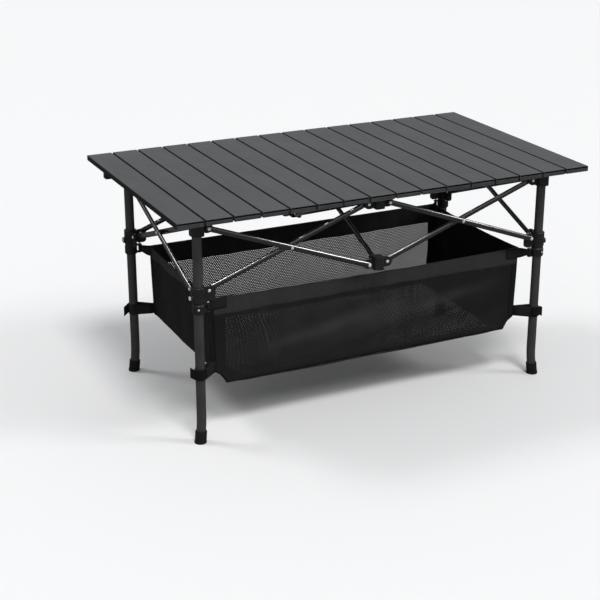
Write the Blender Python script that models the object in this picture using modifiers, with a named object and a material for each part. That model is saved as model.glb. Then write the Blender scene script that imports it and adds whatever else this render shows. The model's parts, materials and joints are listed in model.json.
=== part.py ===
"""Folding camp kitchen table: a roll-up slat top on a frame of four legs and seven scissor
pairs, with a sewn storage basket hung between the legs.

Frame: metres, +Z up, origin on the floor under the middle of the top. X runs along the top's
long side, and -Y is the front. The table is modelled opened out and standing.
"""

import math

import bmesh
import bpy
from mathutils import Matrix, Vector

# Driving dimensions.
TOP_LENGTH, TOP_WIDTH, TOP_HEIGHT = 0.9431, 0.5479, 0.5001
SLAT_COUNT = 16
SLAT_GAP = 0.003
SLAT_THICKNESS = 0.0116
SLAT_WALL = 0.0009
SLAT_HINGE_DEPTH = 0.001
LEG_X, LEG_Y = 0.404, 0.202
LEG_RADIUS, LEG_WALL = 0.010, 0.0011
LEG_BEND_TOP, LEG_BEND_END = 0.065, 0.028
LEG_SPLAY = 0.116
PIVOT_OFFSET = 0.023
UPPER_PIVOT, LOWER_PIVOT = 0.460, 0.329
BAR_HEIGHT, BAR_THICKNESS, BAR_WALL = 0.012, 0.008, 0.0012
BAR_OVERHANG = 0.0065
TONGUE_THICKNESS = 0.005
BASKET_X, BASKET_Y = 0.366, 0.182
BASKET_RIM, BASKET_CORNER, BASKET_BOTTOM = 0.303, 0.160, 0.112
FABRIC = 0.002
GAP = 0.0003

# What follows from them.
SLAT_PITCH = (TOP_LENGTH + SLAT_GAP) / SLAT_COUNT
SLAT_WIDTH = SLAT_PITCH - SLAT_GAP
UNDERSIDE = TOP_HEIGHT - SLAT_THICKNESS
SUPPORT_TOP = UNDERSIDE - GAP
LEG_TOP = SUPPORT_TOP - 0.004
BAR_OFFSET = TONGUE_THICKNESS / 2 + GAP + BAR_THICKNESS / 2
SIDES = {"left": -1, "right": 1}
ROWS = {"front": -1, "rear": 1}
ALONG_X, ALONG_Y, UP = Vector((1, 0, 0)), Vector((0, 1, 0)), Vector((0, 0, 1))


def clear_scene():
    for item in list(bpy.data.objects):
        bpy.data.objects.remove(item, do_unlink=True)


def new_collection(name):
    collection = bpy.data.collections.new(name)
    bpy.context.scene.collection.children.link(collection)
    return collection


clear_scene()
TABLE = new_collection("camp_kitchen_table")
HELPERS = new_collection("cutters")


def material(name, colour, roughness, metallic=0.0):
    made = bpy.data.materials.new(name)
    made.use_nodes = True
    shader = made.node_tree.nodes["Principled BSDF"]
    shader.inputs["Base Color"].default_value = (*colour, 1.0)
    shader.inputs["Roughness"].default_value = roughness
    shader.inputs["Metallic"].default_value = metallic
    return made


SLAT_GREY = material("slat_grey", (0.115, 0.12, 0.125), 0.42, 0.4)
FRAME_BLACK = material("frame_black", (0.02, 0.02, 0.022), 0.35, 0.5)
PLASTIC_BLACK = material("plastic_black", (0.012, 0.012, 0.013), 0.5)
RUBBER_BLACK = material("rubber_black", (0.01, 0.01, 0.01), 0.8)
BUTTON_STEEL = material("button_steel", (0.6, 0.6, 0.62), 0.25, 1.0)
MESH_BLACK = material("mesh_black", (0.02, 0.02, 0.02), 0.85)
CLOTH_BLACK = material("cloth_black", (0.014, 0.014, 0.015), 0.9)


def rounded_rectangle(low, high, radius, segments=4):
    """Corner-rounded outline between two (across, up) corners, counter-clockwise."""
    (x0, y0), (x1, y1) = low, high
    centres = [(x1 - radius, y1 - radius), (x0 + radius, y1 - radius)]
    centres += [(x0 + radius, y0 + radius), (x1 - radius, y0 + radius)]
    outline = []
    for corner, (cx, cy) in enumerate(centres):
        for step in range(segments + 1):
            angle = math.pi / 2 * (corner + step / segments)
            outline.append((cx + radius * math.cos(angle), cy + radius * math.sin(angle)))
    return outline


def axes_matrix(across, up, depth, origin):
    """Matrix that carries an outline's own x, y and z to across, up and depth at origin."""
    matrix = Matrix((across, up, depth)).transposed().to_4x4()
    matrix.translation = origin
    return matrix


def upright(across, origin=(0, 0, 0)):
    """Places an outline in a vertical plane: its x runs along across, and its y runs up."""
    return axes_matrix(across, UP, across.cross(UP), Vector(origin))


def prism(name, outlines, depth, matrix, finish, collection=TABLE):
    """Flat outlines, the first solid and any others holes, extruded depth thick about their plane."""
    curve = bpy.data.curves.new(name, "CURVE")
    curve.dimensions = "2D"
    curve.fill_mode = "BOTH"
    curve.extrude = depth / 2
    for outline in outlines:
        spline = curve.splines.new("POLY")
        spline.points.add(len(outline) - 1)
        for point, (x, y) in zip(spline.points, outline):
            point.co = (x, y, 0, 1)
        spline.use_cyclic_u = True
    curve.materials.append(finish)
    made = bpy.data.objects.new(name, curve)
    made.matrix_world = matrix
    collection.objects.link(made)
    return made


def as_mesh(curve_object, merge=1e-6):
    """Replaces a curve object with a welded mesh object of the same name, place and material."""
    graph = bpy.context.evaluated_depsgraph_get()
    mesh = bpy.data.meshes.new_from_object(curve_object.evaluated_get(graph))
    work = bmesh.new()
    work.from_mesh(mesh)
    bmesh.ops.remove_doubles(work, verts=work.verts, dist=merge)
    bmesh.ops.recalc_face_normals(work, faces=work.faces)
    work.to_mesh(mesh)
    work.free()
    name, matrix = curve_object.name, curve_object.matrix_world.copy()
    collection = curve_object.users_collection[0]
    bpy.data.objects.remove(curve_object)
    made = bpy.data.objects.new(name, mesh)
    made.matrix_world = matrix
    collection.objects.link(made)
    return made


def turned(name, profile, location, finish, steps=20, tilt=None, collection=TABLE):
    """Turns a profile of (radius, height) points, run down its outer side, about Z."""
    closed = profile[0][0] > 0
    mesh = bpy.data.meshes.new(name)
    count = len(profile)
    edges = [(n, (n + 1) % count) for n in range(count if closed else count - 1)]
    mesh.from_pydata([(radius, 0, height) for radius, height in profile], edges, [])
    mesh.materials.append(finish)
    made = bpy.data.objects.new(name, mesh)
    made.matrix_world = Matrix.Translation(location) @ (tilt or Matrix.Identity(4))
    screw = made.modifiers.new("turn", "SCREW")
    screw.steps = screw.render_steps = steps
    screw.use_merge_vertices = True
    screw.merge_threshold = 1e-5
    collection.objects.link(made)
    return made


def helper(made):
    made.hide_render = True
    made.display_type = "WIRE"
    return made


def combine(target, others, operation):
    for other in others:
        change = target.modifiers.new(f"{operation.lower()} {other.name}", "BOOLEAN")
        change.operation = operation
        change.object = helper(other)


def rod(name, radius, start, end, steps=14):
    """Helper cylinder from start to end."""
    along = Vector(end) - Vector(start)
    tilt = along.to_track_quat("Z", "Y").to_matrix().to_4x4()
    profile = [(0, along.length), (radius, along.length), (radius, 0), (0, 0)]
    return turned(name, profile, start, PLASTIC_BLACK, steps, tilt, HELPERS)


def block(name, low, high, radius=0.0015):
    """Helper box between two corners, its upright edges rounded."""
    (x0, y0, z0), (x1, y1, z1) = low, high
    outline = rounded_rectangle((x0, y0), (x1, y1), radius, 2)
    flat = axes_matrix(ALONG_X, ALONG_Y, UP, Vector((0, 0, (z0 + z1) / 2)))
    return as_mesh(prism(name, [outline], z1 - z0, flat, PLASTIC_BLACK, HELPERS))


def tongue(name, centre, direction, inner, reach, drop, rise, radius):
    """Helper plate that stands out from centre along direction and carries a bar's end."""
    outline = rounded_rectangle((inner, -drop), (reach, rise), radius, 4)
    place = upright(direction, centre)
    return as_mesh(prism(name, [outline], TONGUE_THICKNESS, place, PLASTIC_BLACK, HELPERS))


def pivot(name, position):
    """Empty on a joint's axis; the pieces of the moving body hang on it."""
    made = bpy.data.objects.new(f"pivot_{name}", None)
    made.empty_display_size = 0.01
    made.location = position
    TABLE.objects.link(made)
    return made


def hang(owner, *pieces):
    bpy.context.view_layer.update()
    for piece in pieces:
        piece.parent = owner
        piece.matrix_parent_inverse = owner.matrix_world.inverted()


# Tabletop: sixteen hollow slats, each hinged to the next by the cords that run through them.


def slat_left_edge(number):
    return -TOP_LENGTH / 2 + number * SLAT_PITCH


def build_slats():
    half = SLAT_WIDTH / 2
    outer = rounded_rectangle((-half, -SLAT_THICKNESS), (half, 0), 0.0016)
    low = (SLAT_WALL - half, SLAT_WALL - SLAT_THICKNESS)
    inner = rounded_rectangle(low, (half - SLAT_WALL, -SLAT_WALL), 0.0007, 1)
    for number in range(SLAT_COUNT):
        left = slat_left_edge(number)
        place = upright(ALONG_X, (left + half, 0, TOP_HEIGHT))
        slat = prism(f"slat_{number + 1:02d}", [outer, inner], TOP_WIDTH, place, SLAT_GREY)
        axis = (left - SLAT_GAP / 2, 0, TOP_HEIGHT - SLAT_HINGE_DEPTH)
        hang(pivot(slat.name, axis if number else (0, 0, TOP_HEIGHT)), slat)
    corner = Vector((-0.468, 0.158, 0.474))
    tab = block("cord_tab", corner, corner + Vector((0.016, 0.02, SUPPORT_TOP - 0.474)), 0.004)
    HELPERS.objects.unlink(tab)
    TABLE.objects.link(tab)
    hang(bpy.data.objects["pivot_slat_01"], tab)


# Legs: tubes that sweep outward near the floor, with rubber foot caps.


def outward(side, row):
    return Vector((side * 0.86, row * 0.51, 0))


def leg_drift(height):
    """How far the leg's middle stands outward of its upper run at a height."""
    bend = LEG_BEND_TOP - LEG_BEND_END
    if height >= LEG_BEND_TOP:
        return 0.0
    if height >= LEG_BEND_END:
        return LEG_SPLAY * (LEG_BEND_TOP - height) ** 2 / (2 * bend)
    return LEG_SPLAY * (bend / 2 + LEG_BEND_END - height)


def build_leg(name, side, row):
    foot = Vector((side * LEG_X, row * LEG_Y, 0))
    heights = [LEG_TOP, LEG_BEND_TOP, 0.053, 0.040, LEG_BEND_END, 0.0055]
    curve = bpy.data.curves.new(f"leg_tube_{name}", "CURVE")
    curve.dimensions = "3D"
    curve.bevel_depth = LEG_RADIUS
    curve.bevel_resolution = 6
    spline = curve.splines.new("POLY")
    spline.points.add(len(heights) - 1)
    for point, height in zip(spline.points, heights):
        point.co = (*(foot + outward(side, row) * leg_drift(height) + UP * height), 1)
    curve.materials.append(FRAME_BLACK)
    tube = bpy.data.objects.new(f"leg_tube_{name}", curve)
    TABLE.objects.link(tube)
    tube = as_mesh(tube)
    wall = tube.modifiers.new("wall", "SOLIDIFY")
    wall.thickness = LEG_WALL
    wall.offset = -1
    return [tube, build_foot(name, side, row, foot)]


def build_foot(name, side, row, foot):
    """Rubber cap along the leg's last stretch, cut level where it stands."""
    bore, outside, top, floor = LEG_RADIUS + 0.0004, 0.0122, 0.0265, 0.0050
    profile = [(0, floor), (bore, floor), (bore, top), (0.0114, top), (outside, top - 0.0010)]
    profile += [(outside, 0.006), (0.0128, 0.003), (0.0128, -0.004), (0, -0.004)]
    lean = math.atan(LEG_SPLAY)
    axis = UP.cross(outward(side, row)).normalized()
    tilt = Matrix.Rotation(-lean, 4, axis)
    place = foot + outward(side, row) * leg_drift(0)
    cap = turned(f"foot_cap_{name}", profile, place, RUBBER_BLACK, 16, tilt)
    reach = 0.03
    low, high = place - Vector((reach, reach, reach)), place + Vector((reach, reach, 0))
    combine(cap, [block(f"floor_cut_{name}", low, high)], "DIFFERENCE")
    return cap


# Mouldings at the pivots: top brackets, sliders and hubs.


def build_top_bracket(name, side, row):
    """Cap on the leg's top. It carries the upper end of one bar each way, and the tabletop."""
    centre = Vector((side * LEG_X, row * LEG_Y, UPPER_PIVOT))
    half, bottom = 0.0130, 0.013
    outline = rounded_rectangle((-half, -half), (half, half), 0.0055, 4)
    height = SUPPORT_TOP - UPPER_PIVOT + bottom
    flat = axes_matrix(ALONG_X, ALONG_Y, UP, centre + UP * (height / 2 - bottom))
    cap = as_mesh(prism(f"top_bracket_{name}", [outline], height, flat, PLASTIC_BLACK))
    reach, inner = PIVOT_OFFSET + 0.0105, 0.0105
    arms = [
        tongue(f"arm_x_{cap.name}", centre, -side * ALONG_X, inner, reach, 0.0105, 0.0105, 0.0100),
        tongue(f"arm_y_{cap.name}", centre, -row * ALONG_Y, inner, reach, 0.0105, 0.0105, 0.0100),
    ]
    combine(cap, arms, "UNION")
    foot = Vector((centre.x, centre.y, UPPER_PIVOT - 0.05))
    end = Vector((centre.x, centre.y, LEG_TOP + GAP))
    combine(cap, [rod(f"bore_{cap.name}", LEG_RADIUS + GAP, foot, end, 16)], "DIFFERENCE")
    return cap


def build_slider(name, side, row):
    """Sleeve that runs on the leg, with two bar arms, a button boss and two basket lugs."""
    centre = Vector((side * LEG_X, row * LEG_Y, LOWER_PIVOT))
    bore = LEG_RADIUS + 0.0010
    profile = [(bore, 0.011), (0.0132, 0.011), (0.0138, 0.0102), (0.0138, -0.0200)]
    profile += [(0.0125, -0.0220), (0.0125, -0.0250), (0.0136, -0.0265), (0.0136, -0.0425)]
    profile += [(0.0128, -0.0440), (bore, -0.0440)]
    sleeve = turned(f"slider_{name}", profile, centre, PLASTIC_BLACK)
    reach, inner = PIVOT_OFFSET + 0.013, 0.0122
    across = side * ALONG_X
    boss_middle = centre - UP * 0.0110
    parts = [
        tongue(f"arm_x_{name}", centre, -across, inner, reach, 0.0215, 0.0090, 0.0070),
        tongue(f"arm_y_{name}", centre, -row * ALONG_Y, inner, reach, 0.0215, 0.0090, 0.0070),
        rod(f"boss_{name}", 0.0065, boss_middle + across * 0.0122, boss_middle + across * 0.0175),
    ]
    for level, label in ((-0.0265, "upper"), (-0.0425, "lower")):
        near, far = centre - across * 0.0122, centre - across * 0.0250
        low = Vector((min(near.x, far.x), centre.y - 0.0045, LOWER_PIVOT + level - 0.0015))
        high = Vector((max(near.x, far.x), centre.y + 0.0045, LOWER_PIVOT + level + 0.0015))
        parts.append(block(f"lug_{label}_{name}", low, high, 0.0030))
    combine(sleeve, parts, "UNION")
    pocket = rod(f"pocket_{name}", 0.0047, boss_middle + across * 0.0145, boss_middle + across * 0.03)
    combine(sleeve, [pocket], "DIFFERENCE")
    return sleeve


def build_release_button(name, side, row):
    """Spring button that locks the slider. It stands 2 mm proud of its boss."""
    middle = Vector((side * LEG_X, row * LEG_Y, LOWER_PIVOT - 0.0110))
    inner, outer = 0.0166, 0.0195
    length = outer - inner
    profile = [(0, length), (0.0036, length), (0.0043, length - 0.0006), (0.0043, 0), (0, 0)]
    tilt = (side * ALONG_X).to_track_quat("Z", "Y").to_matrix().to_4x4()
    start = middle + side * ALONG_X * inner
    return turned(f"release_button_{name}", profile, start, BUTTON_STEEL, 12, tilt)


def build_hub(name, row, level, bottom, top):
    """Block at the middle of a long side. It joins four bar ends of the side and the centre pair."""
    centre = Vector((0, row * LEG_Y, level))
    half = 0.0110
    outline = rounded_rectangle((-half, -half), (half, half), 0.0045, 4)
    flat = axes_matrix(ALONG_X, ALONG_Y, UP, Vector((0, centre.y, (bottom + top) / 2)))
    hub = as_mesh(prism(f"hub_{name}", [outline], top - bottom, flat, PLASTIC_BLACK))
    reach, inner = PIVOT_OFFSET + 0.0105, 0.0085
    arms = []
    for label, direction in (("l", -ALONG_X), ("r", ALONG_X), ("y", -row * ALONG_Y)):
        arm_name = f"arm_{label}_{hub.name}"
        arms.append(tongue(arm_name, centre, direction, inner, reach, 0.0105, 0.0105, 0.0100))
    combine(hub, arms, "UNION")
    return hub


# Scissor bars: flat-oval tubes, one each side of the tongues.


def build_bar(name, start, end, sideways):
    """Bar between two pivots, shifted along sideways to its own plane."""
    along = end - start
    across = sideways.normalized()
    corner = (BAR_THICKNESS / 2, BAR_HEIGHT / 2)
    outer = rounded_rectangle((-corner[0], -corner[1]), corner, 0.0039, 4)
    inside = 1 - 2 * BAR_WALL / BAR_THICKNESS
    tall = 1 - 2 * BAR_WALL / BAR_HEIGHT
    inner = [(x * inside, y * tall) for x, y in outer[::2]]
    direction = along.normalized()
    middle = (start + end) / 2 + across * BAR_OFFSET
    place = axes_matrix(across, direction.cross(across), direction, middle)
    return prism(name, [outer, inner], along.length + 2 * BAR_OVERHANG, place, FRAME_BLACK)


def long_side_pivot(side, row, at_leg, level):
    """Pivot on a long side: at_leg for the one beside the leg, otherwise the one on the hub."""
    distance = LEG_X - PIVOT_OFFSET if at_leg else PIVOT_OFFSET
    return Vector((side * distance, row * LEG_Y, level))


def cross_pivot(x, row, level):
    return Vector((x, row * (LEG_Y - PIVOT_OFFSET), level))


def build_long_side_scissor(row_name, side_name):
    """The two bars between a leg and the hub. Seen from outside, the outer one falls to the right."""
    row, side = ROWS[row_name], SIDES[side_name]
    out = row * ALONG_Y
    leg_is_left_from_outside = side == row
    high_leg = long_side_pivot(side, row, True, UPPER_PIVOT)
    low_hub = long_side_pivot(side, row, False, LOWER_PIVOT)
    low_leg = long_side_pivot(side, row, True, LOWER_PIVOT)
    high_hub = long_side_pivot(side, row, False, UPPER_PIVOT)
    from_leg = out if leg_is_left_from_outside else -out
    name = f"brace_{row_name}_{side_name}"
    falling = build_bar(f"{name}_from_leg_top", high_leg, low_hub, from_leg)
    rising = build_bar(f"{name}_from_slider", low_leg, high_hub, -from_leg)
    return falling, rising


def build_cross_scissor(name, x, sideways):
    """The two bars from front to rear at one x. The one from the rear top is shifted sideways."""
    front_top, rear_low = cross_pivot(x, -1, UPPER_PIVOT), cross_pivot(x, 1, LOWER_PIVOT)
    front_low, rear_top = cross_pivot(x, -1, LOWER_PIVOT), cross_pivot(x, 1, UPPER_PIVOT)
    return (
        build_bar(f"brace_{name}_from_front_top", front_top, rear_low, -sideways),
        build_bar(f"brace_{name}_from_rear_top", rear_top, front_low, sideways),
    )


# Basket: five panels, sewn together at their edges on the real table.


def build_basket():
    bottom_x = BASKET_X - 0.029
    half_outline = [(BASKET_X, BASKET_RIM), (BASKET_X - 0.004, BASKET_CORNER)]
    half_outline += [(bottom_x, BASKET_BOTTOM)]
    side_outline = half_outline + [(-x, z) for x, z in reversed(half_outline)]
    for row_name, row in ROWS.items():
        place = upright(ALONG_X, (0, row * BASKET_Y, 0))
        prism(f"basket_mesh_{row_name}", [side_outline], FABRIC, place, MESH_BLACK)
    between = 2 * (BASKET_Y - FABRIC / 2 - GAP)
    end_outline = half_outline + [(x - FABRIC, z) for x, z in reversed(half_outline)]
    for side_name, side in SIDES.items():
        outline = [(side * x, z) for x, z in end_outline]
        prism(f"basket_end_{side_name}", [outline], between, upright(ALONG_X), CLOTH_BLACK)
    floor_x = bottom_x - FABRIC - GAP
    corners = (-floor_x, BASKET_BOTTOM), (floor_x, BASKET_BOTTOM + FABRIC)
    floor_outline = rounded_rectangle(*corners, FABRIC / 2 - GAP, 1)
    prism("basket_floor", [floor_outline], between, upright(ALONG_X), CLOTH_BLACK)


def build_corner(row_name, side_name):
    row, side = ROWS[row_name], SIDES[side_name]
    name = f"{row_name}_{side_name}"
    leg_parts = build_leg(name, side, row) + [build_top_bracket(name, side, row)]
    hang(pivot(f"leg_{name}", (side * LEG_X, row * LEG_Y, 0)), *leg_parts)
    slider = build_slider(name, side, row)
    hang(pivot(slider.name, long_side_pivot(side, row, True, LOWER_PIVOT)), slider)
    button = build_release_button(name, side, row)
    hang(slider, button)


def build_frame():
    for row_name, row in ROWS.items():
        for side_name in SIDES:
            build_corner(row_name, side_name)
            falling, rising = build_long_side_scissor(row_name, side_name)
            side = SIDES[side_name]
            high_leg = long_side_pivot(side, row, True, UPPER_PIVOT)
            high_hub = long_side_pivot(side, row, False, UPPER_PIVOT)
            hang(pivot(falling.name, high_leg), falling)
            hang(pivot(rising.name, high_hub), rising)
        for level_name, level, bottom, top in (
            ("upper", UPPER_PIVOT, UPPER_PIVOT - 0.0115, SUPPORT_TOP),
            ("lower", LOWER_PIVOT, LOWER_PIVOT - 0.013, LOWER_PIVOT + 0.015),
        ):
            hub = build_hub(f"{row_name}_{level_name}", row, level, bottom, top)
            hang(pivot(hub.name, long_side_pivot(-1, row, False, level)), hub)
    for name, x, sideways in (
        ("left", -LEG_X, -ALONG_X),
        ("centre", 0, ALONG_X),
        ("right", LEG_X, -ALONG_X),
    ):
        front_bar, rear_bar = build_cross_scissor(name, x, sideways)
        hang(pivot(front_bar.name, cross_pivot(x, -1, UPPER_PIVOT)), front_bar)
        hang(pivot(rear_bar.name, cross_pivot(x, 1, UPPER_PIVOT)), rear_bar)


build_slats()
build_frame()
build_basket()
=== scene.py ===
"""Looks of the folding camp kitchen table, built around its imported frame.

Metres, +Z up, -Y is the front. Every piece is made in the frame's own coordinates, so an
object's coordinates are also the table's, and the procedural finishes run in metres.
"""

import json
import math
import random

import bmesh
import bpy
import numpy as np
from mathutils import Matrix, Vector


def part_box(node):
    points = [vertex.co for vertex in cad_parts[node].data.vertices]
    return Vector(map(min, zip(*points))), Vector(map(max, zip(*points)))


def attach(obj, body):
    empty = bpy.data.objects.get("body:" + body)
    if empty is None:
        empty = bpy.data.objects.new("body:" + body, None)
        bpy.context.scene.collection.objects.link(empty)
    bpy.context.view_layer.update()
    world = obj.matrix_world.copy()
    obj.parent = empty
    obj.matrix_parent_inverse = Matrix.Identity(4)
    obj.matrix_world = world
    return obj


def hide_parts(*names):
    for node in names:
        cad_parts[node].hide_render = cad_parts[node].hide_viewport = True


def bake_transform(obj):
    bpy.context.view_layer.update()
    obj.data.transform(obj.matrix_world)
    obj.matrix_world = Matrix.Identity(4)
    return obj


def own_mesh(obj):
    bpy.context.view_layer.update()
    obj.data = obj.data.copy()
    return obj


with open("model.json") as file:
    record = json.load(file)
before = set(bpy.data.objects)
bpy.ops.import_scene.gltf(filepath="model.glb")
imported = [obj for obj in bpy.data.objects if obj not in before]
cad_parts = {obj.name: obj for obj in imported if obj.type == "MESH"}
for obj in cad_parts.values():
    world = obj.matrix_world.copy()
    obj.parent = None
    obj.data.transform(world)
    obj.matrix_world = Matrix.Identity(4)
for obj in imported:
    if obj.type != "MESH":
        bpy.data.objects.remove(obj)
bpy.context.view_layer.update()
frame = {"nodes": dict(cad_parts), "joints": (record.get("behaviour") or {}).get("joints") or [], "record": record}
RANDOM = random.Random(7)

NODES = frame["nodes"]
JOINTS = {joint["name"]: joint for joint in frame["joints"]}
BODY_OF = {
    node: body
    for body, nodes in frame["record"]["behaviour"]["bodies"].items()
    for node in nodes
}
SIDES = {"left": -1, "right": 1}
ROWS = {"front": -1, "rear": 1}
UP = Vector((0, 0, 1))

# Places that the frame gives.
LEG_PIVOT = Vector(JOINTS["frame_fold"]["pos_m"])
SLIDER_PIVOT = Vector(JOINTS["slider_front_left_level"]["pos_m"])
CROSS_PIVOT = Vector(JOINTS["leg_rear_left_level"]["pos_m"])
LEG_X, LEG_Y = -CROSS_PIVOT.x, -LEG_PIVOT.y
PIVOT_OFFSET = LEG_X + LEG_PIVOT.x
UPPER, LOWER = LEG_PIVOT.z, SLIDER_PIVOT.z
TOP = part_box("slat_01")[1].z

# Sizes of the pieces that only this script makes.
SLAT_WALL = 0.0009
LEG_RADIUS = 0.010
RIVET_RADIUS = 0.0034
RIVET_DOME = 0.0014
STRAP_LOW, STRAP_HIGH = 0.140, 0.166
WEBBING = 0.0014
CLOTH = 0.0007
HEM = 0.0016
BAR_PRESSED = 0.80
TONGUE_HALF = 0.0025
PIN_RADIUS, PIN_INSET = 0.0015, 0.0203
STRAP_GAP = 0.0003


# Finishes.


class Finish:
    """A node material with its Principled shader, and short ways to vary it."""

    def __init__(self, name, colour, roughness, metallic=0.0, coat=0.0, sheen=0.0, shine=0.5):
        self.material = bpy.data.materials.new(name)
        self.material.use_nodes = True
        self.material.diffuse_color = (*colour, 1)
        self.tree = self.material.node_tree
        self.shader = self.tree.nodes["Principled BSDF"]
        self.colour = colour
        self.set("Base Color", (*colour, 1))
        self.set("Roughness", roughness)
        self.set("Metallic", metallic)
        self.set("Coat Weight", coat)
        self.set("Coat Roughness", 0.08)
        self.set("Specular IOR Level", shine)
        self.set("Sheen Weight", sheen)
        self.set("Sheen Roughness", 0.5)
        self.height = None

    def set(self, socket, value):
        self.shader.inputs[socket].default_value = value

    def node(self, kind, **inputs):
        made = self.tree.nodes.new(kind)
        for name, value in inputs.items():
            made.inputs[name.replace("_", " ")].default_value = value
        return made

    def link(self, source, target):
        self.tree.links.new(source, target)

    def place(self, stretch=(1, 1, 1), uv=False):
        """Coordinates in metres, stretched; the flat cloth's own with uv, else the table's."""
        coordinates = self.node("ShaderNodeTexCoord")
        mapping = self.node("ShaderNodeMapping")
        mapping.inputs["Scale"].default_value = stretch
        self.link(coordinates.outputs["UV" if uv else "Object"], mapping.inputs["Vector"])
        return mapping.outputs["Vector"]

    def noise(self, scale, detail=2.0, stretch=(1, 1, 1), uv=False):
        made = self.node("ShaderNodeTexNoise", Scale=scale, Detail=detail)
        self.link(self.place(stretch, uv), made.inputs["Vector"])
        return made.outputs["Fac"]

    def ranged(self, value, low, high, start=0.25, stop=0.75):
        """A value from start to stop, carried to low to high."""
        made = self.node("ShaderNodeMapRange")
        self.link(value, made.inputs["Value"])
        for name, number in zip(("From Min", "From Max", "To Min", "To Max"), (start, stop, low, high)):
            made.inputs[name].default_value = number
        return made.outputs["Result"]

    def vary_roughness(self, value, low, high):
        self.link(self.ranged(value, low, high), self.shader.inputs["Roughness"])

    def vary_colour(self, value, darkest, lightest, start=0.3, stop=0.7):
        """Mixes the colour between two multiples of itself."""
        ramp = self.node("ShaderNodeValToRGB")
        ramp.color_ramp.elements[0].position = start
        ramp.color_ramp.elements[1].position = stop
        ramp.color_ramp.elements[0].color = (*[darkest * c for c in self.colour], 1)
        ramp.color_ramp.elements[1].color = (*[lightest * c for c in self.colour], 1)
        self.link(value, ramp.inputs["Fac"])
        self.link(ramp.outputs["Color"], self.shader.inputs["Base Color"])

    def shade_sides(self, share):
        """Painted shade: darkens the faces that look along X, which lie in the next slat's shade."""
        coordinates = self.node("ShaderNodeTexCoord")
        split = self.node("ShaderNodeSeparateXYZ")
        self.link(coordinates.outputs["Normal"], split.inputs["Vector"])
        size = self.node("ShaderNodeMath")
        size.operation = "ABSOLUTE"
        self.link(split.outputs["X"], size.inputs[0])
        amount = self.ranged(size.outputs["Value"], 1.0, share, 0.05, 0.35)
        shade = self.node("ShaderNodeMix")
        shade.data_type, shade.blend_type = "RGBA", "MULTIPLY"
        shade.inputs["Factor"].default_value = 1.0
        colour = self.shader.inputs["Base Color"]
        self.link(colour.links[0].from_socket, shade.inputs["A"])
        self.link(amount, shade.inputs["B"])
        self.link(shade.outputs["Result"], colour)

    def bump(self, value, distance, strength=1.0):
        """Stacks a bump on any earlier one."""
        made = self.node("ShaderNodeBump", Distance=distance, Strength=strength)
        self.link(value, made.inputs["Height"])
        if self.height:
            self.link(self.height, made.inputs["Normal"])
        self.height = made.outputs["Normal"]
        self.link(self.height, self.shader.inputs["Normal"])

    def threads(self, pitch, axis="X", uv=True):
        """Fine parallel bands, one for each thread."""
        made = self.node("ShaderNodeTexWave", Scale=math.pi / (10 * pitch), Distortion=0.0)
        made.bands_direction = axis
        self.link(self.place(uv=uv), made.inputs["Vector"])
        return made.outputs["Fac"]

    def weave(self, pitch, depth):
        """Plain weave: threads one way and the other, crossing, on the flat cloth."""
        crossing = self.node("ShaderNodeMath")
        crossing.operation = "MULTIPLY"
        self.link(self.threads(pitch, "X"), crossing.inputs[0])
        self.link(self.threads(pitch, "Y"), crossing.inputs[1])
        self.bump(crossing.outputs["Value"], depth)
        return crossing.outputs["Value"]


def powder_coat(name, colour, roughness, metallic):
    """Satin powder coat: a fine orange peel, faint lines along the extrusion, scuffs, painted side shade."""
    made = Finish(name, colour, roughness, metallic)
    made.bump(made.noise(1400, 1.0), 0.00006, 0.35)
    made.bump(made.noise(260, 3.0, (1, 0.02, 1)), 0.00005, 0.25)
    made.vary_roughness(made.noise(38, 6.0, (1, 0.25, 1)), roughness - 0.06, roughness + 0.09)
    made.vary_colour(made.noise(11, 5.0), 0.93, 1.07)
    # Painted shade on the slats' sides, so the gaps between the slats read dark.
    made.shade_sides(0.06)
    return made.material


def coated_tube(name, colour, roughness, grain, shine, coat, ior=1.5):
    """Black coated tube: a clear gloss over a slightly uneven colour, rubbed here and there."""
    made = Finish(name, colour, roughness, coat=coat, shine=shine)
    made.set("IOR", ior)
    made.set("Coat IOR", ior)
    made.bump(made.noise(grain, 2.0), 0.00004, 0.3)
    made.vary_roughness(made.noise(55, 5.0, (1, 1, 0.2)), roughness - 0.05, roughness + 0.1)
    made.vary_colour(made.noise(23, 4.0), 0.85, 1.2)
    return made.material


def moulded_plastic(name, colour, roughness):
    """Moulded nylon: a spark-eroded grain with a soft sheen."""
    made = Finish(name, colour, roughness, shine=0.4)
    made.bump(made.noise(1900, 2.0), 0.00010, 0.5)
    made.bump(made.noise(120, 2.0), 0.00012, 0.2)
    made.vary_roughness(made.noise(90, 4.0), roughness - 0.08, roughness + 0.1)
    made.vary_colour(made.noise(60, 3.0), 0.85, 1.2)
    return made.material


def rubber(name, colour):
    made = Finish(name, colour, 0.8, shine=0.12)
    made.bump(made.noise(1100, 3.0), 0.00015, 0.6)
    made.vary_roughness(made.noise(70, 4.0), 0.68, 0.9)
    made.vary_colour(made.noise(45, 5.0), 0.8, 1.9)
    return made.material


def polished_steel(name):
    made = Finish(name, (0.86, 0.86, 0.87), 0.38, 0.45)
    made.bump(made.noise(900, 3.0), 0.00003, 0.3)
    made.vary_roughness(made.noise(300, 4.0), 0.28, 0.42)
    made.vary_colour(made.noise(160, 3.0), 0.9, 1.0)
    return made.material


def woven(name, colour, pitch, sheen=0.008, roughness=0.62):
    """Plain-woven polyester, with slubs, uneven dye and lint."""
    made = Finish(name, colour, roughness, sheen=sheen, shine=0.09)
    cloth = made.weave(pitch, pitch * 0.25)
    made.bump(made.noise(140, 4.0, uv=True), 0.0003, 0.25)
    made.vary_colour(cloth, 0.7, 1.5, 0.1, 0.9)
    made.vary_roughness(made.noise(60, 4.0, uv=True), roughness - 0.1, roughness + 0.12)
    return made.material


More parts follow.
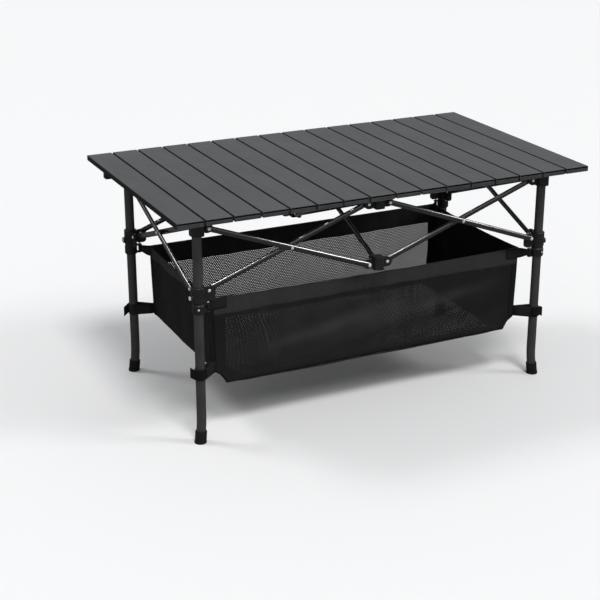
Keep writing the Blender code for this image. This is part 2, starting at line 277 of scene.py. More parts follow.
def webbing_strap(name, colour):
    """Ribbed webbing, its ribs across the strap's length."""
    made = Finish(name, colour, 0.75, shine=0.1)
    made.bump(made.threads(0.0016, "X"), 0.0003, 0.8)
    made.bump(made.threads(0.0005, "Y"), 0.0001, 0.6)
    made.vary_colour(made.noise(500, 3.0, uv=True), 0.7, 1.7)
    return made.material


def hook_tape(name, colour):
    """Hook-and-loop tape: a short, dense pile."""
    made = Finish(name, colour, 0.95, shine=0.06)
    made.bump(made.noise(1500, 5.0, uv=True), 0.0009, 0.9)
    made.vary_colour(made.noise(900, 4.0, uv=True), 0.5, 2.2)
    return made.material


def net_cord(name, colour):
    """The net's own threads."""
    made = Finish(name, colour, 0.42, shine=0.35)
    made.bump(made.noise(2500, 3.0, uv=True), 0.0002, 0.6)
    made.vary_colour(made.noise(700, 3.0, uv=True), 0.7, 1.5)
    return made.material


SLAT_GREY = powder_coat("slat_grey", (0.086, 0.0892, 0.0935), 0.42, 0.3)
PLUG_GREY = moulded_plastic("plug_grey", (0.035, 0.036, 0.038), 0.45)
LEG_CHARCOAL = coated_tube("leg_charcoal", (0.030, 0.030, 0.031), 0.42, 700, 0.8, 0.0)
BAR_BLACK = coated_tube("bar_black", (0.003, 0.003, 0.0034), 0.16, 500, 0.8, 1.0, 1.85)
PLASTIC_BLACK = moulded_plastic("plastic_black", (0.013, 0.013, 0.0135), 0.36)
RUBBER_BLACK = rubber("rubber_black", (0.007, 0.007, 0.007))
STEEL = polished_steel("rivet_steel")
ELASTIC = webbing_strap("elastic_cord", (0.05, 0.05, 0.053))
CLOTH_BLACK = woven("cloth_black", (0.0125, 0.0125, 0.0130), 0.0008)
# The hems' cloth is coloured lighter than the walls' cloth: painted sheen.
HEM_SHEEN_BLACK = woven("hem_black_painted_sheen", (0.033, 0.033, 0.0335), 0.0007)
NET_BLACK = net_cord("net_black", (0.0105, 0.0105, 0.011))
STRAP_BLACK = webbing_strap("strap_black", (0.012, 0.012, 0.0121))
PILE_BLACK = hook_tape("pile_black", (0.0055, 0.0055, 0.0055))
THREAD = net_cord("stitch_thread", (0.011, 0.011, 0.0115))


# Mesh helpers.


def link_mesh(name, mesh, finish, body=None):
    """A shown object with one finish, riding on a body."""
    made = bpy.data.objects.new(name, mesh)
    bpy.context.scene.collection.objects.link(made)
    if not mesh.materials:
        mesh.materials.append(finish)
    if body:
        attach(made, body)
    return made


def mesh_from(name, points, faces, uvs=None, smooth=True):
    """A mesh from points and faces; uvs holds a flat place for each point."""
    mesh = bpy.data.meshes.new(name)
    mesh.from_pydata([tuple(p) for p in points], [], [tuple(f) for f in faces])
    if uvs is not None:
        flat = np.asarray(uvs, np.float32)
        corners = np.empty(len(mesh.loops), np.int32)
        mesh.loops.foreach_get("vertex_index", corners)
        layer = mesh.uv_layers.new(name="flat")
        layer.data.foreach_set("uv", flat[corners].ravel())
    mesh.polygons.foreach_set("use_smooth", np.full(len(mesh.polygons), smooth))
    mesh.update()
    return mesh


def outward(mesh):
    """Turns a closed mesh's faces to point out."""
    work = bmesh.new()
    work.from_mesh(mesh)
    bmesh.ops.recalc_face_normals(work, faces=work.faces)
    work.to_mesh(mesh)
    work.free()
    return mesh


def soften_edges(obj, width, segments=2, angle=32):
    """Rounds the edges of a hard piece and keeps its flats flat in shading."""
    bevel = obj.modifiers.new("edges", "BEVEL")
    bevel.width = width
    bevel.segments = segments
    bevel.limit_method = "ANGLE"
    bevel.angle_limit = math.radians(angle)
    bevel.miter_outer = "MITER_ARC"
    normals = obj.modifiers.new("flats", "WEIGHTED_NORMAL")
    normals.keep_sharp = False
    normals.weight = 60


def dress_cad(node, finish, edge):
    """Gives a CAD node its finish, and welds and softens what shows of it."""
    obj = NODES[node]
    normals = obj.data.attributes.get("custom_normal")
    if normals:
        obj.data.attributes.remove(normals)
    for name in ("sharp_edge", "sharp_face"):
        if obj.data.attributes.get(name):
            obj.data.attributes.remove(obj.data.attributes[name])
    obj.data.polygons.foreach_set("use_smooth", np.full(len(obj.data.polygons), True))
    obj.data.materials.clear()
    obj.data.materials.append(finish)
    weld = obj.modifiers.new("weld", "WELD")
    weld.merge_threshold = 2e-5
    flats = obj.modifiers.new("flat faces", "DECIMATE")
    flats.decimate_type = "DISSOLVE"
    flats.angle_limit = math.radians(1)
    if edge:
        soften_edges(obj, edge)


def lathe(profile, steps=24):
    """Points and faces of a profile of (radius, height) turned about Z; it starts and ends on the axis."""
    points, faces = [(0, 0, profile[0][1])], []
    for radius, height in profile[1:-1]:
        for step in range(steps):
            angle = 2 * math.pi * step / steps
            points.append((radius * math.cos(angle), radius * math.sin(angle), height))
    points.append((0, 0, profile[-1][1]))
    rings = len(profile) - 2
    for step in range(steps):
        after = (step + 1) % steps
        faces.append((0, 1 + after, 1 + step))
        for ring in range(rings - 1):
            a, b = 1 + ring * steps, 1 + (ring + 1) * steps
            faces.append((a + step, a + after, b + after, b + step))
        last = 1 + (rings - 1) * steps
        faces.append((last + step, last + after, len(points) - 1))
    return points, faces


def turned(name, profile, place, finish, body, steps=24):
    """A lathed piece with its Z axis along place's."""
    points, faces = lathe(profile, steps)
    mesh = outward(mesh_from(name, [place @ Vector(p) for p in points], faces))
    return link_mesh(name, mesh, finish, body)


def along(direction, origin):
    """Matrix whose Z axis is direction, at origin."""
    turn = Vector(direction).to_track_quat("Z", "Y").to_matrix().to_4x4()
    turn.translation = Vector(origin)
    return turn


def ribbon(name, route, heights, thickness, finish, body):
    """A strap on edge along a route of level points, heights giving its low and high edge at each."""
    count, rows = len(route), 5
    points, uvs, faces = [], [], []
    run = 0.0
    for n, point in enumerate(route):
        before, after = route[max(n - 1, 0)], route[min(n + 1, count - 1)]
        direction = (after - before).normalized()
        side = direction.cross(UP).normalized() * thickness / 2
        low, high = heights[n]
        run += (point - before).length
        for face in (-1, 1):
            for row in range(rows):
                up = low + (high - low) * row / (rows - 1)
                round_off = 0.55 if row in (0, rows - 1) else 1.0
                points.append(Vector((point.x, point.y, up)) + side * face * round_off)
                uvs.append((run, up))
    ring = [*range(rows), *range(2 * rows - 1, rows - 1, -1)]
    for n in range(count - 1):
        a, b = n * 2 * rows, (n + 1) * 2 * rows
        for k, corner in enumerate(ring):
            following = ring[(k + 1) % len(ring)]
            faces.append((a + corner, b + corner, b + following, a + following))
    faces.append(ring)
    faces.append([(count - 1) * 2 * rows + k for k in reversed(ring)])
    mesh = outward(mesh_from(name, points, faces, uvs))
    return link_mesh(name, mesh, finish, body)


def tube_faces(rings, sides):
    """The faces of a closed tube whose points come ring by ring."""
    faces = []
    for n in range(rings - 1):
        for side in range(sides):
            after = (side + 1) % sides
            a, b = n * sides, (n + 1) * sides
            faces.append((a + side, a + after, b + after, b + side))
    faces.append(list(range(sides - 1, -1, -1)))
    faces.append([(rings - 1) * sides + side for side in range(sides)])
    return faces


def tube_mesh(name, route, radius, sides=10):
    """A closed round tube along a route."""
    points = []
    count = len(route)
    for n, point in enumerate(route):
        direction = (route[min(n + 1, count - 1)] - route[max(n - 1, 0)]).normalized()
        across = direction.orthogonal().normalized() if n == 0 else across
        across = (across - direction * across.dot(direction)).normalized()
        other = direction.cross(across)
        for side in range(sides):
            angle = 2 * math.pi * side / sides
            points.append(point + radius * (math.cos(angle) * across + math.sin(angle) * other))
    return outward(mesh_from(name, points, tube_faces(count, sides)))


# Tabletop.


def dress_slats():
    count = sum(1 for node in NODES if node.startswith("slat_"))
    for number in range(1, count + 1):
        node = f"slat_{number:02d}"
        dress_cad(node, SLAT_GREY, 0.0005)
        for row_name, row in ROWS.items():
            build_plug(node, row_name, row)
    for number in range(1, count):
        for row_name, row in ROWS.items():
            build_gap_cord(number, row_name, row)
    dress_cad("cord_tab", PLASTIC_BLACK, 0.0012)


def build_plug(node, row_name, row):
    """End plug: it fills the slat's lower part, and leaves a groove under the top."""
    low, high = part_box(node)
    inset = SLAT_WALL + 0.0001
    groove = 0.0034
    x0, x1 = low.x + inset, high.x - inset
    z0, z1 = low.z + inset, high.z - inset - groove
    face = (low.y if row < 0 else high.y) - row * 0.0002
    deep = face - row * 0.014
    work = bmesh.new()
    bmesh.ops.create_cube(work, size=1)
    size = Vector((x1 - x0, abs(face - deep), z1 - z0))
    bmesh.ops.scale(work, vec=size, verts=work.verts)
    middle = Vector(((x0 + x1) / 2, (face + deep) / 2, (z0 + z1) / 2))
    bmesh.ops.translate(work, vec=middle, verts=work.verts)
    name = f"end_plug_{node}_{row_name}"
    mesh = bpy.data.meshes.new(name)
    work.to_mesh(mesh)
    work.free()
    plug = link_mesh(name, mesh, PLUG_GREY, BODY_OF[node])
    soften_edges(plug, 0.0007)
    return plug


def build_gap_cord(number, row_name, row):
    """The stretch of elastic cord that shows between two slats."""
    left, right = f"slat_{number:02d}", f"slat_{number + 1:02d}"
    start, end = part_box(left)[1].x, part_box(right)[0].x
    y = row * (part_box(left)[1].y - 0.027)
    depth, radius, reach = 0.0029, 0.0016, 0.006
    route = [
        Vector((x, y, TOP - depth))
        for x in np.linspace(start - reach, end + reach, 13)
    ]
    name = f"elastic_cord_{number:02d}_{row_name}"
    cord = link_mesh(name, tube_mesh(name, route, radius), ELASTIC)
    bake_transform(cord)


# Frame.


def dress_frame():
    for node in NODES:
        if node.startswith("leg_tube"):
            dress_cad(node, LEG_CHARCOAL, 0.0003)
        elif node.startswith("foot_cap"):
            dress_cad(node, RUBBER_BLACK, 0.0006)
        elif node.startswith(("top_bracket", "slider", "hub")):
            dress_cad(node, PLASTIC_BLACK, 0.0007)
        elif node.startswith("release_button"):
            dress_cad(node, STEEL, 0.0003)
        elif node.startswith("brace"):
            build_bar(node)
    for row_name, row in ROWS.items():
        for side_name, side in SIDES.items():
            rivet_long_side(row_name, row, side_name, side)
            build_lug_pin(row_name, row, side_name, side)
    for place, x in (("left", -LEG_X), ("centre", 0.0), ("right", LEG_X)):
        rivet_cross_pair(place, x)


def bar_ends(node):
    """The pivots that a bar runs between, in the bar's own plane."""
    low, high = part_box(node)
    middle = (low + high) / 2
    lengthwise = Vector((1, 0, 0)) if high.x - low.x > high.y - low.y else Vector((0, 1, 0))
    if lengthwise.x:
        side = 1 if middle.x > 0 else -1
        inner, outer = side * PIVOT_OFFSET, side * (LEG_X - PIVOT_OFFSET)
        starts_at_leg = node.endswith("from_leg_top")
        level = (UPPER, LOWER) if starts_at_leg else (LOWER, UPPER)
        return (
            Vector((outer, middle.y, level[0])),
            Vector((inner, middle.y, level[1])),
        )
    reach = -CROSS_PIVOT.y if node.endswith("from_front_top") else CROSS_PIVOT.y
    return Vector((middle.x, reach, UPPER)), Vector((middle.x, -reach, LOWER))


def build_bar(node):
    """Flat-oval bar with pressed, rounded ends, lofted along its length."""
    start, end = bar_ends(node)
    run = end - start
    direction = run.normalized()
    across = Vector((0, 1, 0)) if abs(direction.x) > 0.1 else Vector((1, 0, 0))
    up = direction.cross(across).normalized()
    half_height, half_width, cap = 0.006, 0.004, 0.0062
    sides, steps, tip = 28, 6, 0.03
    # Each station is a place along the bar and its shares of the full height and width.
    stations = []
    for step in range(steps + 1):
        angle = math.pi / 2 * step / steps
        stations.append((-cap * math.cos(angle), max(math.sin(angle), tip), BAR_PRESSED))
    stations += [(0.012, 1.0, 0.82), (0.026, 1.0, 1.0)]
    stations += [(run.length - place, high, wide) for place, high, wide in reversed(stations)]
    points = []
    for place, height, width in stations:
        centre = start + direction * place
        for side in range(sides):
            angle = 2 * math.pi * side / sides
            c, s = math.cos(angle), math.sin(angle)
            offset = across * c * half_width * width + up * s * half_height * height
            points.append(centre + offset)
    name = f"bar_{node.removeprefix('brace_')}"
    mesh = outward(mesh_from(name, points, tube_faces(len(stations), sides)))
    bar = link_mesh(name, mesh, BAR_BLACK, BODY_OF[node])
    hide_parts(node)
    return bar


def build_rivet(name, centre, axis, back, front, body):
    """Domed rivet through a joint, its heads at back and front along axis from centre."""
    r, dome = RIVET_RADIUS, RIVET_DOME
    head = [
        (0.0, dome), (0.35 * r, 0.97 * dome), (0.65 * r, 0.80 * dome),
        (0.88 * r, 0.48 * dome), (r, 0.12 * dome), (r, 0.0),
    ]
    shank = 0.0016
    profile = [(radius, front + height) for radius, height in head]
    profile += [(shank, front), (shank, back)]
    profile += [(radius, back - height) for radius, height in reversed(head)]
    return turned(name, profile, along(axis, centre), STEEL, body, 20)


def plane_of(node, axis):
    """How far a bar's plane lies from its joint's tongue, and half its thickness."""
    low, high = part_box(node)
    middle = (low + high) / 2
    return middle.dot(axis), (high - low).dot(axis) / 2


def rivet_end(name, node, pivot, axis):
    """Rivet at a bar's end: one head on the bar, the other behind the tongue that carries it."""
    plane, half = plane_of(node, axis)
    tongue = pivot.dot(axis)
    facing = 1 if plane > tongue else -1
    front = abs(plane - tongue) + half * BAR_PRESSED
    build_rivet(name, pivot, axis * facing, -TONGUE_HALF, front, BODY_OF[node])


def rivet_crossing(name, bar, centre, axis):
    """Rivet where a bar crosses its twin, with a spacer between them."""
    plane, half = plane_of(bar, axis)
    gap = abs(plane - centre.dot(axis))
    build_rivet(name, centre, axis, -gap - half, gap + half, BODY_OF[bar])
    spacer, wide, chamfer = gap - half, 0.0050, 0.0006
    profile = [(0, spacer), (wide - chamfer, spacer), (wide, spacer - chamfer)]
    profile += [(wide, chamfer - spacer), (wide - chamfer, -spacer), (0, -spacer)]
    turned(f"spacer_{name.removeprefix('rivet_')}", profile, along(axis, centre), PLASTIC_BLACK,
           BODY_OF[bar], 20)


def rivet_long_side(row_name, row, side_name, side):
    axis = Vector((0, 1, 0))
    name = f"{row_name}_{side_name}"
    falling, rising = f"brace_{name}_from_leg_top", f"brace_{name}_from_slider"
    leg, hub = side * (LEG_X - PIVOT_OFFSET), side * PIVOT_OFFSET
    y = row * LEG_Y
    for place, bar, x, z in (
        ("leg_top", falling, leg, UPPER),
        ("lower_hub", falling, hub, LOWER),
        ("slider", rising, leg, LOWER),
        ("upper_hub", rising, hub, UPPER),
    ):
        rivet_end(f"rivet_{name}_{place}", bar, Vector((x, y, z)), axis)
    middle = Vector(((leg + hub) / 2, y, (UPPER + LOWER) / 2))
    rivet_crossing(f"rivet_{name}_crossing", falling, middle, axis)


def rivet_cross_pair(place, x):
    axis = Vector((1, 0, 0))
    front_bar, rear_bar = f"brace_{place}_from_front_top", f"brace_{place}_from_rear_top"
    reach = CROSS_PIVOT.y
    for end, bar, y, z in (
        ("front_top", front_bar, -reach, UPPER),
        ("rear_low", front_bar, reach, LOWER),
        ("rear_top", rear_bar, reach, UPPER),
        ("front_low", rear_bar, -reach, LOWER),
    ):
        rivet_end(f"rivet_{place}_{end}", bar, Vector((x, y, z)), axis)
    middle = Vector((x, 0, (UPPER + LOWER) / 2))
    rivet_crossing(f"rivet_{place}_crossing", front_bar, middle, axis)


def lug_pin_place(row, side):
    return Vector((side * (LEG_X - PIN_INSET), row * LEG_Y, LOWER))


def build_lug_pin(row_name, row, side_name, side):
    """Headed pin through the slider's two lugs, and the screw in the slider's collar."""
    place = lug_pin_place(row, side)
    body = f"slider_{row_name}_{side_name}"
    low, high, shank, head = -0.0450, -0.0240, PIN_RADIUS, 0.0026
    profile = [(0, high + 0.0012), (head * 0.7, high + 0.0010), (head, high + 0.0003)]
    profile += [(head, high - 0.0006), (shank, high - 0.0007), (shank, low + 0.0007)]
    profile += [(head, low + 0.0006), (head, low), (0, low - 0.0004)]
    matrix = Matrix.Translation(place)
    turned(f"lug_pin_{row_name}_{side_name}", profile, matrix, STEEL, body, 16)
    out = Vector((side * 0.35, row * 0.94, 0)).normalized()
    collar = Vector((side * LEG_X, row * LEG_Y, LOWER - 0.034)) + out * 0.0130
    screw = [(0, 0.0014), (0.0012, 0.0013), (0.0020, 0.0008), (0.0022, 0), (0, -0.001)]
    turned(f"collar_screw_{row_name}_{side_name}", screw, along(out, collar), STEEL, body, 16)


# Basket: a shell hung by simulation, then cut into its sewn panels.

BASKET_LOW, BASKET_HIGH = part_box("basket_mesh_front")
BASKET_X = BASKET_HIGH.x
BASKET_Y = -(BASKET_LOW.y + BASKET_HIGH.y) / 2
RIM, BOTTOM = BASKET_HIGH.z, BASKET_LOW.z
FLOOR_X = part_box("basket_end_right")[0].x + 0.002
CORNER = (STRAP_LOW + STRAP_HIGH) / 2
COLUMNS, LEVELS, DEPTHS = 64, 20, 34
SLACK = 0.004
NET_PITCH, FLOOR_PITCH, NET_HOLE = 0.0044, 0.0031, 0.20
TAPER, CORNER_CURVE = 0.004, 0.55
FRONT_SAG, END_SAG = 0.004, 0.005
TINY = 1e-6
HANG_FRAMES = 40

# Widths of the sewn edges.
WALL_HEM = {"front": 0.038, "rear": 0.046}
LEFT_BINDING = {"front": 0.026, "rear": 0.012}
RIGHT_BINDING, FOOT_HEM, END_HEM, END_PIPING = 0.012, 0.012, 0.026, 0.010
TUCK, FLOOR_TAPE, FLOOR_SPLIT = 0.005, 0.010, 0.150


def half_width(z):
    """Half the basket's length at a height: straight to the strap corner, then cut in."""
    if z >= STRAP_LOW:
        return BASKET_X - TAPER * (RIM - z) / (RIM - STRAP_LOW)
    share = (STRAP_LOW - z) / (STRAP_LOW - BOTTOM)
    return BASKET_X - TAPER - (BASKET_X - TAPER - FLOOR_X) * share**CORNER_CURVE


def shell_rest():
    """The four walls and the floor as grids of points, rim first."""
    heights = np.linspace(RIM, BOTTOM, LEVELS + 1)
    widths = np.array([half_width(z) for z in heights])
    across = np.linspace(-1, 1, COLUMNS + 1)
    deep = np.linspace(-BASKET_Y, BASKET_Y, DEPTHS + 1)
    grids = {}
    for row_name, row in ROWS.items():
        x = widths[:, None] * across[None, :]
        y = np.full_like(x, row * BASKET_Y)
        grids[row_name] = np.stack([x, y, np.broadcast_to(heights[:, None], x.shape)], -1)
    for side_name, side in SIDES.items():
        y = np.broadcast_to(deep[None, :], (LEVELS + 1, DEPTHS + 1))
        x = np.broadcast_to(side * widths[:, None], y.shape)
        grids[side_name] = np.stack([x, y, np.broadcast_to(heights[:, None], x.shape)], -1)
    x = np.broadcast_to(FLOOR_X * across[None, :], (DEPTHS + 1, COLUMNS + 1))
    y = np.broadcast_to(deep[:, None], x.shape)
    grids["floor"] = np.stack([x, y, np.full_like(x, BOTTOM)], -1)
    return grids


def rim_sag(points):
    """The front rim hangs a little between its corners, and so do the ends. The rear one is taut."""
    along_x = (1 - (points[..., 0] / BASKET_X) ** 2) * (points[..., 1] < 0)
    along_y = 1 - (points[..., 1] / BASKET_Y) ** 2
    at_end = np.abs(points[..., 0]) > 0.95 * BASKET_X
    return -FRONT_SAG * along_x - END_SAG * along_y * at_end


def held_points(rest):
    """The points that hold the shell up: its rim, its strap corners and its floor's tips."""
    at_rim = rest[:, 2] > RIM - TINY
    at_strap = np.abs(rest[:, 2] - CORNER) < 0.55 * (RIM - BOTTOM) / LEVELS
    at_edge = np.abs(np.abs(rest[:, 1]) - BASKET_Y) < TINY
    at_end = np.abs(rest[:, 0]) > BASKET_X - 0.006
    at_tip = (rest[:, 2] < BOTTOM + TINY) & (np.abs(rest[:, 0]) > FLOOR_X - TINY)
    return np.flatnonzero(at_rim | (at_edge & ((at_strap & at_end) | at_tip)))


def hang_shell(grids):
    """Simulates the sewn shell hung from its rim and strap corners; returns the grids it makes."""
    index, points, faces, where = {}, [], [], {}
    for name, grid in grids.items():
        ids = np.empty(grid.shape[:2], int)
        for spot in np.ndindex(ids.shape):
            key = tuple(np.round(grid[spot], 5))
            if key not in index:
                index[key] = len(points)
                points.append(grid[spot])
            ids[spot] = index[key]
        where[name] = ids
        rows, columns = ids.shape
        for r in range(rows - 1):
            for c in range(columns - 1):
                faces.append((ids[r, c], ids[r, c + 1], ids[r + 1, c + 1], ids[r + 1, c]))
    rest = np.array(points)
    start = rest.copy()
    top = rest[:, 2] > RIM - TINY
    start[top, 2] += rim_sag(rest[top])
    mesh = mesh_from("shell", start, faces)
    shell = link_mesh("shell", mesh, CLOTH_BLACK)
    group = shell.vertex_groups.new(name="held")
    group.add([int(n) for n in held_points(rest)], 1.0, "REPLACE")
    cloth = shell.modifiers.new("hang", "CLOTH")
    settings = cloth.settings
    settings.quality = 7
    settings.mass = 0.05
    settings.tension_stiffness = settings.compression_stiffness = 90
    settings.shear_stiffness = 30
    settings.bending_stiffness = 2.0
    settings.air_damping = 1.5
    settings.shrink_min = -SLACK
    settings.vertex_group_mass = "held"
    settings.effector_weights.gravity = 0.4
    cloth.collision_settings.use_collision = False
    scene = bpy.context.scene
    for step in range(1, HANG_FRAMES + 1):
        scene.frame_set(step)
    graph = bpy.context.evaluated_depsgraph_get()
    made = shell.evaluated_get(graph).data
    hung = np.empty(len(points) * 3, np.float32)
    made.vertices.foreach_get("co", hung)
    hung = hung.reshape(-1, 3).astype(float)
    bpy.data.objects.remove(shell)
    scene.frame_set(1)
    return {name: hung[ids] for name, ids in where.items()}


def ripple(grid, outward, size):
    """Adds soft, lengthwise folds to a hung wall, none of them at its edges."""
    rows, columns = grid.shape[:2]
    down = np.linspace(0, 1, rows)[:, None]
    across = np.linspace(0, 1, columns)[None, :]
    total = np.zeros((rows, columns))
    folds = ((1.9, 0.5, 1.0), (3.1, 0.9, 0.5), (1.1, 2.3, 0.45), (4.3, 3.4, 0.2), (2.2, 6.5, 0.15))
    for turns_down, turns_across, share in folds:
        phase, slant = RANDOM.uniform(0, 6.28), RANDOM.uniform(-0.6, 0.6)
        wave = turns_down * down + (turns_across * across + slant * down) + phase
        total += share * np.sin(2 * math.pi * wave)
    inside = np.clip(np.sin(math.pi * down) * np.sin(math.pi * across) * 1.6, 0, 1)
    return grid + (size * total * inside)[..., None] * np.asarray(outward, float)


def kernel(t):
    """Catmull-Rom weights of the four grid points round a fraction t."""
    return np.stack([
        -0.5 * t + t**2 - 0.5 * t**3,
        1 - 2.5 * t**2 + 1.5 * t**3,
        0.5 * t + 2 * t**2 - 1.5 * t**3,
        -0.5 * t**2 + 0.5 * t**3,
    ])


def sample(grid, down, across):
    """Smooth points on a grid at fractions down and across, each 0 to 1."""
    rows, columns = grid.shape[0] - 1, grid.shape[1] - 1
    padded = np.pad(grid, ((1, 1), (1, 1), (0, 0)), mode="reflect", reflect_type="odd")
    r, c = np.clip(down, 0, 1) * rows, np.clip(across, 0, 1) * columns
    r0, c0 = np.minimum(r.astype(int), rows - 1), np.minimum(c.astype(int), columns - 1)
    kr, kc = kernel(r - r0), kernel(c - c0)
    total = 0
    for i in range(4):
        for j in range(4):
            total = total + (kr[i] * kc[j])[..., None] * padded[r0 + i, c0 + j]
    return total


def normals_at(grid, down, across, outward):
    step = 0.004
    a = sample(grid, down + step, across) - sample(grid, down - step, across)
    b = sample(grid, down, across + step) - sample(grid, down, across - step)
    normal = np.cross(a, b)
    normal /= np.maximum(np.linalg.norm(normal, axis=-1, keepdims=True), 1e-12)
    flip = np.sign(normal @ np.asarray(outward, float))
    return normal * np.where(flip == 0, 1, flip)[..., None]


class Panel:
    """One sewn panel: its hung grid, its flat size and which way is out."""

    def __init__(self, grid, width, height, outward):
        self.grid, self.width, self.height = grid, width, height
        self.outward = outward

    def points(self, down, across, lift=0.0):
        down, across = np.asarray(down, float), np.asarray(across, float)
        found = sample(self.grid, down, across)
        if lift:
            found = found + lift * normals_at(self.grid, down, across, self.outward)
        return found

    def patch(self, name, top, bottom, left, right, thickness, finish, lift=0.0, pitch=0.004):
        """A piece of cloth on part of the panel, from top to bottom and left to right, as shares."""
        rows = max(2, round((bottom - top) * self.height / pitch))
        columns = max(2, round((right - left) * self.width / pitch))
        down, across = np.meshgrid(
            np.linspace(top, bottom, rows + 1), np.linspace(left, right, columns + 1), indexing="ij"
        )
        front = self.points(down, across, lift + thickness / 2).reshape(-1, 3)
        back = self.points(down, across, lift - thickness / 2).reshape(-1, 3)
        flat = np.stack([across * self.width, down * self.height], -1).reshape(-1, 2)
        return closed_sheet(name, front, back, flat, rows, columns, finish)


def closed_sheet(name, front, back, flat, rows, columns, finish):
    """A thin closed solid between two grids of points."""
    ids = np.arange((rows + 1) * (columns + 1)).reshape(rows + 1, columns + 1)
    size = len(front)
    quads = np.stack([ids[:-1, :-1], ids[:-1, 1:], ids[1:, 1:], ids[1:, :-1]], -1).reshape(-1, 4)
    faces = [*quads, *(quads[:, ::-1] + size)]
    loop = [*ids[0, :-1], *ids[:-1, -1], *ids[-1, :0:-1], *ids[:0:-1, 0]]
    for n, a in enumerate(loop):
        b = loop[(n + 1) % len(loop)]
        faces.append((b, a, a + size, b + size))
    mesh = outward(mesh_from(name, [*front, *back], faces, [*flat, *flat]))
    return link_mesh(name, mesh, finish)


def net(panel, name, top, bottom, left, right, pitch=NET_PITCH):
    """Warp-knitted net with six-sided holes, over part of a panel."""
    step = pitch * math.sqrt(3) / 2
    hole = NET_HOLE * pitch
    wide, tall = panel.width * (right - left), panel.height * (bottom - top)
    columns, rows = int(wide / pitch), int(tall / step)
    m, n = np.meshgrid(np.arange(columns), np.arange(rows))
    u = (wide - (columns - 0.5) * pitch) / 2 + (m + 0.25 + 0.5 * (n % 2)) * pitch
    v = (tall - (rows - 1) * step) / 2 + n * step
    angles = np.radians(30 + 60 * np.arange(6))
    u = u[..., None] + hole * np.cos(angles)
    v = v[..., None] + hole * np.sin(angles)
    across = left + u.ravel() / panel.width
    down = bottom - v.ravel() / panel.height
    points = panel.points(down, across)
    corner = np.arange(points.shape[0]).reshape(rows, columns, 6)
    quads, knots = net_faces(corner)
    flat = np.stack([across * panel.width, down * panel.height], -1)
    mesh = mesh_from(name, points, [*quads.tolist(), *knots.tolist()], flat, smooth=False)
    return link_mesh(name, mesh, NET_BLACK)


def net_faces(corner):
    """The threads between holes, and the knots where three meet, from each hole's six corners."""
    quads, knots = [], []

    def thread(first, second, a, b, c, d):
        quads.append(np.stack([first[..., a], second[..., b], second[..., c], first[..., d]], -1))

    def knot(here, a, other, b, third, c):
        knots.append(np.stack([here[..., a], other[..., b], third[..., c]], -1))

    thread(corner[:, :-1], corner[:, 1:], 5, 3, 2, 0)
    for odd in (0, 1):
        here, above = corner[odd:-1:2], corner[odd + 1 :: 2]
        near, far = (slice(None, -1), slice(1, None)) if odd else (slice(None), slice(None))
        thread(here[:, near], above[:, far], 0, 4, 3, 1)
        near, far = (slice(None), slice(None)) if odd else (slice(1, None), slice(None, -1))
        thread(here[:, near], above[:, far], 1, 5, 4, 2)
        first, last = slice(None, -1), slice(1, None)
        knot(here[:, first], 0, here[:, last], 2, above[:, last if odd else first], 4)
        if odd:
            knot(here[:, first], 1, above[:, last], 3, above[:, first], 5)
        else:
            knot(here[:, last], 1, above[:, last], 3, above[:, first], 5)
    return (
        np.concatenate([q.reshape(-1, 4) for q in quads]),
        np.concatenate([k.reshape(-1, 3) for k in knots]),
    )


def stitches(panel, name, start, end, lift, length=0.0032, gap=0.0012):
    """A row of lock stitches on a panel, from one (down, across) place to another."""
    start, end = np.array(start, float), np.array(end, float)
    size = np.array([panel.height, panel.width])
    run = float(np.linalg.norm((end - start) * size))
    count = int(run / (length + gap))
    where = (np.arange(count) + 0.5) / count
    half = length / 2 / run
    ends = [start + (end - start) * (where + shift)[:, None] for shift in (-half, 0, half)]
    tip_a, middle, tip_b = [panel.points(e[:, 0], e[:, 1], lift) for e in ends]
    out = normals_at(panel.grid, ends[1][:, 0], ends[1][:, 1], panel.outward)
    along_row = tip_b - tip_a
    side = np.cross(out, along_row)
    side /= np.linalg.norm(side, axis=-1, keepdims=True)
    thick = 0.00035
    rings = [middle + thick * side, middle + thick * out, middle - thick * side, middle - thick * out]
    points = np.stack([tip_a, tip_b, *rings], 1).reshape(-1, 3)
    faces = []
    for n in range(count):
        a, b, ring = 6 * n, 6 * n + 1, [6 * n + 2 + k for k in range(4)]
        for k in range(4):
            faces.append((a, ring[k], ring[(k + 1) % 4]))
            faces.append((b, ring[(k + 1) % 4], ring[k]))
    flat = np.repeat(np.stack([where * run, where * 0], -1), 6, 0)
    return link_mesh(name, outward(mesh_from(name, points, faces, flat)), THREAD)


def carry(pieces, body):
    """Panels ride on a leg, each with its own mesh."""
    for piece in pieces:
        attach(piece, body)
        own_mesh(piece)


